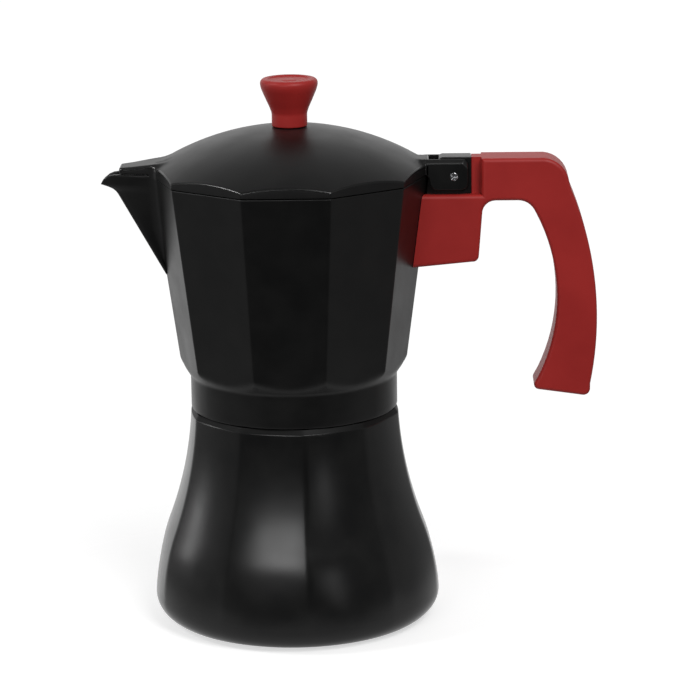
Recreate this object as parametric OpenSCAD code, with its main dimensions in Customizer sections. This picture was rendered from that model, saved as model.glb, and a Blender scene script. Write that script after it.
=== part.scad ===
// Ten-sided stovetop coffee maker: bell-shaped boiler, funnel, screw-on upper chamber and hinged lid.
// Frame: Z up, origin in the middle of the underside. Handle towards +X, spout towards -X.

/* [Boiler] */
// Height of the seam where the two halves meet
seam_z = 83.3; // [78:0.1:87]
// Widest radius of the bell, near the bottom
bell_r = 55.3; // [52:0.1:57]
// Radius where the bell runs into the seam
waist_r = 40.4; // [39:0.1:42]
// Height where the bell's hollow curve turns into its full one
bend_z = 37.3; // [35:0.1:50]
// Height of the rounded foot of the bell
foot_h = 10.6; // [9:0.1:12]
// How far the rounded foot draws in
foot_in = 12; // [10:0.5:12]
// How much flatter the ten soft panels are than a circle, as a share of the radius
panel_dip = 0.026; // [0:0.002:0.03]
// Turn of the soft panels against the upper body, in degrees
panel_turn = 97; // [90:1:126]
// Height of the sloping shoulder under the seam
shoulder_h = 2.4; // [1:0.1:4]
// How far the shoulder draws in
shoulder_in = 1.1; // [0.5:0.1:2]
// Wall of the boiler
boiler_wall = 2.8; // [2:0.1:3.5]
// Radius of the screw neck
neck_r = 35.4; // [34.5:0.1:35.5]
// Inner radius of the screw neck
neck_bore_r = 30.3; // [30.2:0.1:31]
// Height of the screw neck
neck_h = 10.2; // [9.5:0.1:10.3]

/* [Safety valve] */
// Height of the valve above the table
valve_z = 57.5; // [57:0.5:62]
// Hexagon of the valve across its flats
valve_flats = 13; // [12:0.5:16]
// Radius of the valve's thread
valve_thread_r = 4.9; // [4:0.1:5.5]
// Radius of the plunger stem
plunger_r = 1.6; // [1.2:0.1:1.8]

/* [Funnel and filters] */
// Outer radius of the coffee basket
basket_r = 29.9; // [28:0.1:30]
// Depth of the basket below its flange
basket_depth = 27; // [20:1:32]
// Outer radius of the funnel's stem
stem_r = 5; // [4.5:0.1:6]
// Radius of one hole in the perforated discs
pinhole_r = 0.75; // [0.4:0.05:0.9]

/* [Upper chamber] */
// Outer radius of the round collar
collar_r = 39.5; // [39:0.1:41]
// Height of the rim above the table
rim_z = 173; // [160:1:185]
// Corner radius of the ten-sided body at its rim
rim_r = 53; // [50:0.5:56]
// Corner radius of the ten-sided body at its foot
body_foot_r = 43.2; // [41.5:0.1:45]
// Wall of the ten-sided body
body_wall = 2.3; // [1.8:0.1:3]
// Height of the column's top
column_top_z = 160; // [140:1:166]
// Distance of the spout's tip from the axis
spout_reach = 72; // [68:0.5:76]

/* [Lid] */
// Radius of the dome's sphere
dome_r = 96; // [90:1:120]
// Height of the dome's top
dome_top_z = 191.5; // [189:0.5:194]
// Thickness of the lid
lid_wall = 1.8; // [1.4:0.1:2.2]

/* [Hinge] */
// Distance of the hinge pin from the axis
pin_x = 61.6; // [61:0.1:62]
// Height of the hinge pin
pin_z = 172.6; // [172:0.1:173]
// Radius of the hinge pin
pin_r = 1.5; // [1.2:0.1:1.8]
// Half the width of the hinge over both cheeks
cheek_out = 7; // [6.5:0.1:7.4]
// Half the width between the cheeks
cheek_in = 4.7; // [4.6:0.1:5]

/* [Knob] */
// Height of the knob's top
knob_top_z = 209.5; // [205:0.5:215]
// Radius of the knob's disc
knob_r = 10.85; // [9:0.05:12]
// Radius of the knob's neck
knob_neck_r = 6.7; // [5:0.1:7.5]

/* [Handle] */
// Thickness of the handle
handle_t = 15.6; // [15:0.2:18]
// Height of the handle's top
handle_top_z = 179.5; // [179:0.1:179.5]
// Distance of the grip's outermost point from the axis
handle_reach = 115.6; // [112:0.2:120]

/* [Hidden] */
$fn = 96;
eps = 0.05;
sides = 10;
flat_share = cos(180 / sides);
black = "#242424";
red = "#9c2a26";

// Arc of points round (cx, cy), for outlines
function arc(cx, cy, r, from, to, n) =
    [for (i = [0:n]) [cx + r * cos(from + (to - from) * i / n), cy + r * sin(from + (to - from) * i / n)]];

// Bell outline: two arcs that share a tangent at bend_z, and a rounded foot
waist_z = 90.3;
base_r = 45.2;
bell_turn = 2 * atan((bell_r - waist_r) / (waist_z - foot_h));
hollow_arc_r = (waist_z - bend_z) / sin(bell_turn);
full_arc_r = (bend_z - foot_h) / sin(bell_turn);
function bell_radius(z) =
    z > bend_z ? waist_r + hollow_arc_r - sqrt(pow(hollow_arc_r, 2) - pow(waist_z - z, 2)) :
    z > foot_h ? bell_r - full_arc_r + sqrt(pow(full_arc_r, 2) - pow(z - foot_h, 2)) :
    bell_r - foot_in + foot_in * sqrt(1 - pow(1 - z / foot_h, 2));

// Heights that the stack inside the seam is built from
neck_top_z = seam_z + neck_h;
cup_z = neck_top_z - basket_depth;
cone_z = cup_z - 8.5;
tube_low_z = 8;
funnel_wall = 0.9;
flange_t = 0.8;
flange_r = 34.8;
gasket_z = neck_top_z + flange_t + 0.1;
gasket_t = 3.6;
gasket_r = 32.4;
gasket_in_r = 26.6;
plate_z = gasket_z + gasket_t + 0.1;
plate_t = 0.8;
plate_r = 31.2;
seat_z = plate_z + plate_t + 0.1;
collar_bottom_z = seam_z + 0.3;
collar_top_z = 96.5;
collar_bore_r = 36.8;
floor_z = 104;
hub_top_z = 116;
hub_r = 10.6;
column_foot_r = 7.5;
column_bore_r = 4;
disc_r = 44;
disc_t = 1.6;
boiler_floor_z = 4.5;

// Body taper, and its corner radius at any height
body_taper = (rim_r - body_foot_r) / (rim_z - 100);
function body_corner_r(z) = rim_r - body_taper * (rim_z - z);

// Lid and hinge
dome_centre_z = dome_top_z - dome_r;
lid_foot_z = rim_z + 0.3;
lid_corner_r = rim_r + 0.2;
lug_top_z = 179;
slot_start_x = 52.2;
skirt_r = 47.6;
skirt_t = 1.4;
bracket_end_x = 68.2;
bracket_half = 4.4;
bracket_top_z = 179.7;
neck_half = 3.5;
cheek_end_x = 66.9;
ledge_z = 165.6;
step_x = 72;
tongue_end_x = 66;
tongue_bottom_z = 150;
lip_z = 174.2;

// Handle screw
screw_x = 57;
screw_r = 2;
block_floor_z = 144.3;
washer_t = 0.8;

// Profile in the X-Z plane, given a thickness along Y
module side_slab(thickness) rotate([90, 0, 0]) linear_extrude(height = thickness, center = true) children();

// Discs of pinholes in rings
module pinholes(z, rings, pitch) {
    for (ring = [0:rings])
        for (i = [0:max(0, 6 * ring - 1)])
            rotate(i * 360 / max(1, 6 * ring))
                translate([ring * pitch, 0, z]) cylinder(r = pinhole_r, h = 4, center = true, $fn = 16);
}

// ---- Boiler ----

bell_steps = 60;
panel_steps = bell_steps / sides;
shoulder_z = seam_z - shoulder_h;
foot_rings = [for (z = [1.2, 2.6, 4.6, 7.2]) [z, bell_radius(z)]];
side_rings = [for (i = [0:14]) let (z = foot_h + (shoulder_z - foot_h) * i / 14) [z, bell_radius(z)]];
bell_rings = concat(
    [[0, base_r]], foot_rings, side_rings, [[seam_z, bell_radius(shoulder_z) - shoulder_in]]
);

// The panels are deepest halfway between two soft edges, and fade into the round foot
panel_fade_z = 29;
function fade(z) = let (t = min(1, z / panel_fade_z)) t * t * (3 - 2 * t);
function panel_depth(i) = 1 - pow(2 * (i % panel_steps) / panel_steps - 1, 2);
function panel_radius(z, r, i) = r * (1 - panel_dip * fade(z) * panel_depth(i));

module bell() {
    rings = len(bell_rings);
    points = [for (ring = bell_rings) for (i = [0:bell_steps - 1])
        let (a = panel_turn + 360 * i / bell_steps, r = panel_radius(ring[0], ring[1], i))
            [r * cos(a), r * sin(a), ring[0]]];
    walls = [for (k = [0:rings - 2]) for (i = [0:bell_steps - 1])
        let (j = (i + 1) % bell_steps, low = k * bell_steps, high = low + bell_steps)
            each [[low + i, high + i, high + j], [low + i, high + j, low + j]]];
    bottom = [[for (i = [0:bell_steps - 1]) i]];
    top = [[for (i = [bell_steps - 1:-1:0]) (rings - 1) * bell_steps + i]];
    polyhedron(points = points, faces = concat(walls, bottom, top), convexity = 4);
}

module boiler_hollow() {
    inner = [for (i = [0:10]) let (z = 9 + (74 - 9) * i / 10)
        [bell_radius(z) * (1 - panel_dip) - boiler_wall, z]];
    foot_r = bell_radius(9) * (1 - panel_dip) - boiler_wall;
    rotate_extrude() polygon(concat(
        [[0, boiler_floor_z]],
        arc(foot_r - 4.5, 9, 4.5, -90, 0, 5),
        inner,
        [[neck_bore_r, seam_z - 3.5], [neck_bore_r, seam_z], [0, seam_z]]
    ));
}

module boiler() color(black) difference() {
    union() {
        bell();
        translate([0, 0, seam_z - 1]) cylinder(r = neck_r, h = neck_h + 1);
        translate([0, 40, valve_z]) rotate([-90, 0, 0]) cylinder(r = 9, h = 6.3);
    }
    boiler_hollow();
    translate([0, 0, seam_z - 2]) cylinder(r = neck_bore_r, h = neck_h + 3);
    translate([0, 0, -1]) cylinder(r = disc_r + 0.05, h = disc_t + 1);
    translate([0, 34, valve_z]) rotate([-90, 0, 0]) cylinder(r = valve_thread_r, h = 14);
}

module base_disc() color("silver") difference() {
    cylinder(r = disc_r, h = disc_t);
    for (r = [14:10:34])
        translate([0, 0, -0.1]) difference() {
            cylinder(r = r + 0.6, h = 0.4);
            translate([0, 0, -1]) cylinder(r = r, h = 2);
        }
}

// ---- Safety valve, axis along +Y ----

valve_seat_y = 46.3;
module along_valve(y) translate([0, y, valve_z]) rotate([-90, 0, 0]) children();

module valve_washer() color("darkgoldenrod") along_valve(valve_seat_y) difference() {
    cylinder(r = 8, h = 0.8);
    translate([0, 0, -1]) cylinder(r = valve_thread_r, h = 3);
}

module valve_body() color("goldenrod") difference() {
    union() {
        along_valve(valve_seat_y + 0.8) rotate(30) cylinder(r = valve_flats / 2 / cos(30), h = 5, $fn = 6);
        along_valve(valve_seat_y + 5) cylinder(r = 4.6, h = 2);
        along_valve(36) cylinder(r = valve_thread_r, h = valve_seat_y + 1 - 36);
    }
    along_valve(35) cylinder(r = 3, h = 50.5 - 35);
    along_valve(50) cylinder(r = plunger_r + 0.08, h = 5);
    // Steam ports in the hexagon
    along_valve(49) for (a = [0, 90]) rotate(a) rotate([90, 0, 0]) cylinder(r = 0.7, h = 14, center = true);
}

module valve_plunger() color("khaki") {
    along_valve(38.6) cylinder(r = 2.7, h = 2);
    along_valve(40.5) cylinder(r = plunger_r, h = 55.2 - 40.5);
}

module valve_spring() color("silver") {
    coil_r = 2.3;
    for (i = [0:6])
        along_valve(41.1 + i * 1.4) rotate_extrude() translate([coil_r, 0]) circle(r = 0.35, $fn = 16);
    for (i = [0:5])
        along_valve(41.1 + i * 1.4) translate([coil_r, 0, 0]) cylinder(r = 0.3, h = 1.4, $fn = 16);
}

module valve_retainer() color("goldenrod") along_valve(36.4) difference() {
    cylinder(r = 3, h = 1.7);
    for (a = [0:120:240])
        rotate(a) translate([1.7, 0, -1]) cylinder(r = 0.6, h = 4, $fn = 24);
}

// ---- Funnel, gasket and filters ----

module funnel() color("silver") {
    top = neck_top_z;
    inner_r = basket_r - funnel_wall;
    tube_in_r = stem_r - funnel_wall;
    rotate_extrude() polygon([
        [flange_r, top + flange_t], [flange_r, top], [basket_r, top], [basket_r, cup_z],
        [stem_r, cone_z], [tube_in_r, cone_z], [tube_in_r, cone_z + 0.7],
        [basket_r - 2.6, cup_z + 0.1], [basket_r - 2.6, cup_z + 1.1],
        [inner_r, cup_z + 1.1], [inner_r, top + flange_t]
    ]);
}

module funnel_tube() color("silver") translate([0, 0, tube_low_z]) difference() {
    cylinder(r = stem_r, h = cone_z - tube_low_z);
    translate([0, 0, -1]) cylinder(r = stem_r - funnel_wall, h = cone_z - tube_low_z + 2);
}

module funnel_filter() color("gainsboro") difference() {
    z = cup_z + 1.1;
    translate([0, 0, z]) cylinder(r = basket_r - 1, h = 0.8);
    pinholes(z, 4, 6);
}

module gasket() color("white") rotate_extrude() polygon([
    [gasket_in_r, gasket_z + 0.5], [gasket_in_r + 0.5, gasket_z], [gasket_r - 0.5, gasket_z],
    [gasket_r, gasket_z + 0.5], [gasket_r, gasket_z + gasket_t], [gasket_in_r, gasket_z + gasket_t]
]);

module filter_plate() color("gainsboro") difference() {
    rotate_extrude() polygon([
        [0, plate_z - 1.2], [25.4, plate_z - 1.2], [26.4, plate_z], [plate_r, plate_z],
        [plate_r, plate_z + plate_t], [26.1, plate_z + plate_t], [25.1, plate_z - 0.4], [0, plate_z - 0.4]
    ]);
    pinholes(plate_z - 0.8, 4, 5.6);
}

// ---- Upper chamber ----

// Ten-sided taper between two heights, inset by a wall; its corners point along +X and -X
module ten_sided(z1, z2, inset = 0) {
    translate([0, 0, z1])
        cylinder(r1 = body_corner_r(z1) - inset / flat_share, r2 = body_corner_r(z2) - inset / flat_share,
                 h = z2 - z1, $fn = sides);
}

// Spout seen from the side: underside, tip and lip
spout_side = [
    [-44, 133], [-48.4, 135.3], [-65.8, 166.7], [-67.8, 168.5], [-spout_reach, 169.9],
    [-69.5, 172.6], [-67, 173.8], [-64.5, lip_z], [-44, lip_z]
];

// Spout seen from above: a V with a round nose, drawn in by a wall
module spout_wedge(inset) hull() {
    translate([-46.5, 0, 134.5 + inset * 2]) sphere(r = 1.2, $fn = 16);
    translate([-64.8, 0, 166]) cylinder(r = 4.3 - inset, h = 9 + inset, $fn = 32);
    translate([-spout_reach + 0.5 + inset, 0, 168]) cylinder(r = 0.5, h = 7 + inset, $fn = 16);
    translate([-45, -9.6 + inset, 170]) cube([1, 19.2 - 2 * inset, 5 + inset]);
    translate([-45, -1.5, 140]) cube([1, 3, 5]);
}

module bracket() side_slab(2 * bracket_half) polygon([
    [47, tongue_bottom_z], [tongue_end_x, tongue_bottom_z], [tongue_end_x, ledge_z],
    [bracket_end_x, ledge_z], [bracket_end_x, bracket_top_z], [57, bracket_top_z],
    [56, bracket_top_z - 1], [56, rim_z - 0.2], [50, rim_z - 0.2], [50, 168], [47, 160]
]);

module upper_chamber() color(black) difference() {
    union() {
        translate([0, 0, collar_bottom_z]) cylinder(r = collar_r, h = floor_z - collar_bottom_z - 4);
        // Corners of the ten-sided body are trimmed by a cone that runs into the collar
        intersection() {
            ten_sided(collar_top_z, rim_z);
            translate([0, 0, collar_top_z]) cylinder(r1 = collar_r, r2 = collar_r + 70, h = 90);
        }
        // The lip stands higher than the rim only outside the lid
        difference() {
            intersection() {
                spout_wedge(0);
                side_slab(30) polygon(spout_side);
            }
            translate([0, 0, rim_z]) cylinder(r = lid_corner_r + 0.4, h = 5, $fn = sides);
        }
        bracket();
    }
    // Inside, left with a cone of metal that carries the column
    difference() {
        ten_sided(floor_z, rim_z + 2, body_wall);
        rotate_extrude() polygon([
            [0, floor_z - 1], [34, floor_z - 1], [34, floor_z], [hub_r + 0.6, hub_top_z - 3],
            [hub_r, hub_top_z], [0, hub_top_z]
        ]);
    }
    // Channel of the spout, open to the inside
    intersection() {
        spout_wedge(1.9);
        side_slab(30) polygon([
            [-40, 143], [-49, 143], [-64, 168.8], [-80, 173], [-80, 190], [-40, 190]
        ]);
    }
    // Socket for the neck, the gasket's seat and the way up into the column
    translate([0, 0, collar_bottom_z - 1])
        cylinder(r = collar_bore_r, h = neck_top_z + 0.9 - collar_bottom_z + 1);
    translate([0, 0, neck_top_z]) cylinder(r = gasket_r + 0.3, h = seat_z - neck_top_z);
    rotate_extrude() polygon([
        [0, seat_z - 1], [26.5, seat_z - 1], [26.5, seat_z], [column_foot_r, hub_top_z - 7],
        [column_foot_r, hub_top_z + 1], [0, hub_top_z + 1]
    ]);
    // Pin hole and handle screw hole
    translate([pin_x, 0, pin_z]) rotate([90, 0, 0]) cylinder(r = pin_r + 0.05, h = 20, center = true);
    translate([screw_x, 0, tongue_bottom_z - 1]) cylinder(r = screw_r, h = 11);
}

module column() color("silver") difference() {
    rotate_extrude() polygon([
        [0, hub_top_z - 7], [column_foot_r, hub_top_z - 7], [column_foot_r, hub_top_z],
        [column_foot_r + 0.9, hub_top_z], [column_foot_r + 0.9, hub_top_z + 1.5],
        [5.6, column_top_z - 1.5], [4.1, column_top_z], [0, column_top_z]
    ]);
    translate([0, 0, hub_top_z - 8]) cylinder(r = column_bore_r, h = column_top_z - 4 - hub_top_z + 8);
    // Two outlets that face the sides
    translate([0, 0, column_top_z - 7]) cube([3, 20, 5], center = true);
}

// ---- Lid ----

module lug_side() polygon([
    [42, lid_foot_z], [52.4, lid_foot_z], [52.4, pin_z - 0.6], [53.3, 168.8], [55, 167.5], [64.5, 167.4],
    [cheek_end_x, 169.5], [cheek_end_x, 177.5], [65.4, lug_top_z], [42, lug_top_z]
]);

// Bar with chamfered top edges that ends in the two cheeks
module lug() intersection() {
    side_slab(2 * cheek_out) lug_side();
    translate([40, 0, 0]) rotate([90, 0, 90]) linear_extrude(height = 30) polygon([
        [-cheek_out, 160], [cheek_out, 160], [cheek_out, 177.4], [5.5, lug_top_z + eps],
        [-5.5, lug_top_z + eps], [-cheek_out, 177.4]
    ]);
}

// Cover over the spout: a sloping roof on the outline of the spout
module beak() intersection() {
    linear_extrude(height = 200) polygon([
        [-42, -10], [-64.4, -5.2], [-64.4, 5.2], [-42, 10]
    ]);
    side_slab(30) polygon([[-42, lip_z + 0.4], [-64.6, lip_z + 0.4], [-64, 177], [-50, 178.9], [-42, 180]]);
}

// Dome with a thick edge, hollow inside a round wall
module dome() difference() {
    intersection() {
        translate([0, 0, dome_centre_z]) sphere(r = dome_r, $fn = 180);
        translate([0, 0, lid_foot_z]) cylinder(r = lid_corner_r, h = 30, $fn = sides);
    }
    dome_hollow(0);
}

// Space under the dome, inside the skirt
module dome_hollow(raise) intersection() {
    translate([0, 0, dome_centre_z + raise]) sphere(r = dome_r - lid_wall, $fn = 180);
    translate([0, 0, lid_foot_z - 5]) cylinder(r = skirt_r - skirt_t, h = 40);
}

// Skirt that drops inside the rim
module skirt() difference() {
    translate([0, 0, rim_z - 1.4]) cylinder(r = skirt_r, h = 3);
    translate([0, 0, rim_z - 3]) cylinder(r = skirt_r - skirt_t, h = 6);
}

module lid() color(black) difference() {
    union() {
        dome();
        skirt();
        difference() {
            union() {
                lug();
                beak();
            }
            dome_hollow(0.2);
        }
    }
    translate([slot_start_x, -cheek_in, 150]) cube([30, 2 * cheek_in, 40]);
    translate([pin_x, 0, pin_z]) rotate([90, 0, 0]) cylinder(r = pin_r, h = 20, center = true);
    translate([0, 0, dome_top_z - 5]) cylinder(r = 2.1, h = 10);
}

module hinge_pin() color("lightgrey") translate([pin_x, 0, pin_z]) rotate([90, 0, 0])
    cylinder(r = pin_r, h = 2 * cheek_out + 0.4, center = true);

// ---- Knob ----

module knob() color(red) {
    foot_z = dome_top_z;
    difference() {
        rotate_extrude() polygon([
            [0, foot_z], [knob_neck_r, foot_z], [knob_neck_r, foot_z + 5], [knob_r - 0.5, knob_top_z - 4.3],
            [knob_r, knob_top_z - 3], [knob_r, knob_top_z - 0.9], [knob_r - 0.9, knob_top_z],
            [knob_r - 2.6, knob_top_z], [knob_r - 3.2, knob_top_z - 0.6], [0, knob_top_z - 0.6]
        ]);
        translate([0, 0, foot_z - 1]) cylinder(r = screw_r, h = 12);
    }
}

module knob_washer() color("lightgrey") translate([0, 0, dome_top_z - lid_wall - 1]) difference() {
    cylinder(r = 5, h = 0.8);
    translate([0, 0, -1]) cylinder(r = screw_r, h = 3);
}

module pan_screw(head_r, head_h, shank_h) {
    slot_w = 1;
    difference() {
        rotate_extrude() polygon([
            [0, 0], [head_r - 0.8, 0], [head_r, 0.8], [head_r, head_h], [0, head_h]
        ]);
        for (a = [0, 90])
            rotate(a) cube([head_r * 1.2, slot_w, 2.4], center = true);
    }
    translate([0, 0, head_h - eps]) cylinder(r = screw_r, h = shank_h + eps);
}

module knob_screw() color("lightgrey") {
    head_h = 2.4;
    translate([0, 0, dome_top_z - lid_wall - 1 - head_h]) pan_screw(3.7, head_h, 12);
}

// ---- Handle ----

grip_out_r = 131.6;
grip_in_r = 70.4;
grip_out = [handle_reach - grip_out_r, 117.4];
grip_in = [handle_reach - 15.2 - grip_in_r, 125.9];
function out_angle(z) = asin((z - grip_out[1]) / grip_out_r);
function in_angle(z) = asin((z - grip_in[1]) / grip_in_r);

// Round corner of the finger gap, tangent to the arm and to the grip
gap_round = 7;
gap_top_z = 163.3;
gap_rise = gap_top_z - gap_round - grip_in[1];
gap_round_x = grip_in[0] + sqrt(pow(grip_in_r - gap_round, 2) - pow(gap_rise, 2));
gap_turn = atan2(gap_rise, gap_round_x - grip_in[0]);

// Outline: block beside the chamber, arm, and grip between two arcs
module handle_outline() polygon(concat(
    [[40, 138], [46, 138], [68, 139.8]],
    arc(68.6, 142.1, 2.3, -80, -5, 5),
    arc(77.2, gap_top_z - 5, 5, 182, 90, 6),
    arc(gap_round_x, gap_top_z - gap_round, gap_round, 90, gap_turn, 6),
    arc(grip_in[0], grip_in[1], grip_in_r, gap_turn - 1.5, in_angle(95.8), 18),
    arc(93.6, 91.8, 1.9, 155, 262, 4),
    arc(110.6, 90, 2.5, -98, -8, 5),
    arc(grip_out[0], grip_out[1], grip_out_r, out_angle(92), out_angle(168), 20),
    arc(94.5, 169, 10.5, 18, 84, 7),
    [[40, handle_top_z]]
));

module handle() color(red) difference() {
    side_slab(handle_t) handle_outline();
    // Room for the chamber, with the spare width of a close fit
    translate([0, 0, 120]) cylinder(r1 = body_corner_r(120) + 0.15, r2 = body_corner_r(rim_z + 10) + 0.15,
                                    h = rim_z + 10 - 120, $fn = sides);
    // Room for the hinge: wide for the cheeks, leaving only the neck behind the bracket
    translate([40, -20, ledge_z]) cube([bracket_end_x + 0.1 - 40, 40, 40]);
    for (s = [-1, 1])
        translate([60, s * (neck_half + 10) - 10, ledge_z]) cube([step_x - 60, 20, 40]);
    // Pocket for the bracket's tongue
    translate([40, -bracket_half - 0.1, tongue_bottom_z - 0.1])
        cube([tongue_end_x + 0.1 - 40, 2 * bracket_half + 0.2, ledge_z + 1 - tongue_bottom_z]);
    // Screw hole and the recess for its head
    translate([screw_x, 0, 130]) cylinder(r = screw_r + 0.2, h = 25);
    translate([screw_x, 0, 130]) cylinder(r = 4.3, h = block_floor_z - 130);
}

module handle_washer() color("lightgrey") translate([screw_x, 0, block_floor_z - washer_t]) difference() {
    cylinder(r = 4.1, h = washer_t);
    translate([0, 0, -1]) cylinder(r = screw_r, h = 3);
}

module handle_screw() color("lightgrey") {
    head_h = 2.5;
    translate([screw_x, 0, block_floor_z - washer_t - head_h]) pan_screw(3.6, head_h, 16);
}

boiler();
base_disc();
valve_body();
valve_washer();
valve_plunger();
valve_spring();
valve_retainer();
funnel();
funnel_tube();
funnel_filter();
gasket();
filter_plate();
upper_chamber();
column();
handle();
handle_screw();
handle_washer();
lid();
hinge_pin();
knob();
knob_washer();
knob_screw();
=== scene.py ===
import math

import bmesh
import bpy
import numpy as np
from mathutils import Matrix, Vector

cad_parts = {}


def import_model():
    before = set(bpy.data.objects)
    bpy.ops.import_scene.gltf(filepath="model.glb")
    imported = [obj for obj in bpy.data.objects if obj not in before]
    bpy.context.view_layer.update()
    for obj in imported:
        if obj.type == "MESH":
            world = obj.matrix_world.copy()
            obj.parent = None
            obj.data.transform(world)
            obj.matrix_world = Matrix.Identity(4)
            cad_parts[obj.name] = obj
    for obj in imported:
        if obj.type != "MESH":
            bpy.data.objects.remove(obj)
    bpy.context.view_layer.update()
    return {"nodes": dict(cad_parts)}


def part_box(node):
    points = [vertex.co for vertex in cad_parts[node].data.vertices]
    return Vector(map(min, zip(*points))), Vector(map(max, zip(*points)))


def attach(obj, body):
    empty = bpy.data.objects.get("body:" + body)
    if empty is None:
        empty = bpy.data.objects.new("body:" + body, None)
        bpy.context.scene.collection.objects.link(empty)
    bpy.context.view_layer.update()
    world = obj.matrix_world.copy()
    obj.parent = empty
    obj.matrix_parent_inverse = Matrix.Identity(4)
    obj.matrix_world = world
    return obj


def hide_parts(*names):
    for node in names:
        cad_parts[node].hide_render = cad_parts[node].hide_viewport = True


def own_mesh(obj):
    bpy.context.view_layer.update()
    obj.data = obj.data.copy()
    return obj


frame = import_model()

MM = 0.001
COS18, SIN18 = math.cos(math.radians(18)), math.sin(math.radians(18))
SLOPE = math.tan(math.radians(18))


def box_mm(node):
    low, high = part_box(node)
    return [v / MM for v in low], [v / MM for v in high]


# ---- Sizes in millimetres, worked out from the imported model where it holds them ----

boiler_high = box_mm("boiler")[1]
upper_low, upper_high = box_mm("upper_chamber")
lid_low = box_mm("lid")[0]
pin_low, pin_high = box_mm("hinge_pin")
knob_low, knob_high = box_mm("knob")

NECK_H, BRACKET_RISE = 10.2, 6.7
NECK_TOP = boiler_high[2]
SEAM_Z = NECK_TOP - NECK_H
COLLAR_Z = upper_low[2]
RIM_R = upper_high[1] / COS18
RIM_Z = upper_high[2] - BRACKET_RISE
TIP_X = -upper_low[0]
BODY_FOOT_R, BODY_FOOT_Z = 43.2, 100
BODY_TAPER = (RIM_R - BODY_FOOT_R) / (RIM_Z - BODY_FOOT_Z)
THREAD_PITCH, RIDGE_H = 3.0, 0.55
PIN_X, PIN_Z = (pin_low[0] + pin_high[0]) / 2, (pin_low[2] + pin_high[2]) / 2
PIN_R = (pin_high[0] - pin_low[0]) / 2
DOME_R = 96.0
DOME_C = knob_low[2] - DOME_R
LID_R = RIM_R + 0.2
LID_FOOT = RIM_Z + 0.3


# ---- Mesh helpers ----

def soften(mesh, degrees):
    """Smooth shading, with the edges sharper than this left sharp."""
    bm = bmesh.new()
    bm.from_mesh(mesh)
    bmesh.ops.recalc_face_normals(bm, faces=bm.faces)
    limit = math.radians(degrees)
    for e in bm.edges:
        e.smooth = len(e.link_faces) == 2 and e.calc_face_angle(0) < limit
    for f in bm.faces:
        f.smooth = True
    bm.to_mesh(mesh)
    bm.free()


def piece(name, points, faces, body, material, nodes=(), degrees=40):
    """A mesh from points in millimetres, on a body and in a material slot."""
    mesh = bpy.data.meshes.new(name)
    mesh.from_pydata([tuple(c * MM for c in p) for p in points], [], faces)
    mesh.validate()
    soften(mesh, degrees)
    return place(bpy.data.objects.new(name, mesh), body, material, nodes)


def place(obj, body, material, nodes=()):
    bpy.context.scene.collection.objects.link(obj)
    obj.data.materials.clear()
    obj.data.materials.append(material)
    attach(obj, body)
    if nodes:
        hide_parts(*nodes)
    return obj


def second_finish(obj, material, first, last):
    """Gives a run of faces another material."""
    obj.data.materials.append(material)
    for face in obj.data.polygons[first:last]:
        face.material_index = 1


def ring_faces(rings, count, first_pole=False, last_pole=False, loop=False):
    """Quads between rings of equal size, with a fan at either end, or back to the first ring."""
    faces = []
    for k in range(rings - 1):
        a, b = k * count, (k + 1) * count
        faces += [(a + i, a + (i + 1) % count, b + (i + 1) % count, b + i) for i in range(count)]
    last = (rings - 1) * count
    pole = rings * count
    if loop:
        faces += [(last + i, last + (i + 1) % count, (i + 1) % count, i) for i in range(count)]
    if first_pole:
        faces += [(pole, (i + 1) % count, i) for i in range(count)]
        pole += 1
    if last_pole:
        faces += [(pole, last + i, last + (i + 1) % count) for i in range(count)]
    return faces


def revolve(profile, count=96, axis="z", origin=(0, 0, 0)):
    """Turns a profile of (radius, height) pairs, whose two ends may lie on the axis."""
    points, poles = [], []
    ends = profile[0][0] < 1e-6, profile[-1][0] < 1e-6
    body = profile[1 if ends[0] else 0:len(profile) - (1 if ends[1] else 0)]
    for r, h in body:
        for i in range(count):
            t = 2 * math.pi * i / count
            points.append((r * math.cos(t), r * math.sin(t), h))
    if ends[0]:
        poles.append((0, 0, profile[0][1]))
    if ends[1]:
        poles.append((0, 0, profile[-1][1]))
    points += poles
    if axis == "y":
        points = [(x, z, -y) for x, y, z in points]
    points = [tuple(c + o for c, o in zip(p, origin)) for p in points]
    faces = ring_faces(len(body), count, ends[0], ends[1], not (ends[0] or ends[1]))
    return points, faces


def rounded(profile, radius, steps=4):
    """Rounds the inner corners of an open profile with arcs that fit beside each other."""
    out = [profile[0]]
    for before, here, after in zip(profile, profile[1:], profile[2:]):
        p, a, b = np.array(here, float), np.array(before, float), np.array(after, float)
        da, db = a - p, b - p
        la, lb = np.linalg.norm(da), np.linalg.norm(db)
        cut = min(radius, 0.45 * la, 0.45 * lb)
        pa, pb = p + da / la * cut, p + db / lb * cut
        for i in range(steps + 1):
            t = i / steps
            q = (1 - t) ** 2 * pa + 2 * t * (1 - t) * p + t * t * pb
            out.append((float(q[0]), float(q[1])))
    out.append(profile[-1])
    return out


def prism(outline, y0, y1):
    """A profile in the X-Z plane between two values of Y."""
    n = len(outline)
    points = [(x, y0, z) for x, z in outline] + [(x, y1, z) for x, z in outline]
    faces = [tuple(range(n)), tuple(range(2 * n - 1, n - 1, -1))]
    faces += [(i, i + n, (i + 1) % n + n, (i + 1) % n) for i in range(n)]
    return points, faces


def rounding(obj, width, segments=3, degrees=28):
    """Rounds the edges sharper than an angle, and keeps the flat faces flat."""
    bevel = obj.modifiers.new("round", "BEVEL")
    bevel.width = width * MM
    bevel.segments = segments
    bevel.limit_method = "ANGLE"
    bevel.angle_limit = math.radians(degrees)
    bevel.use_clamp_overlap = True
    bevel.miter_outer = "MITER_ARC"
    even = obj.modifiers.new("even", "WEIGHTED_NORMAL")
    even.keep_sharp = True
    even.weight = 60
    return obj


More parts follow.
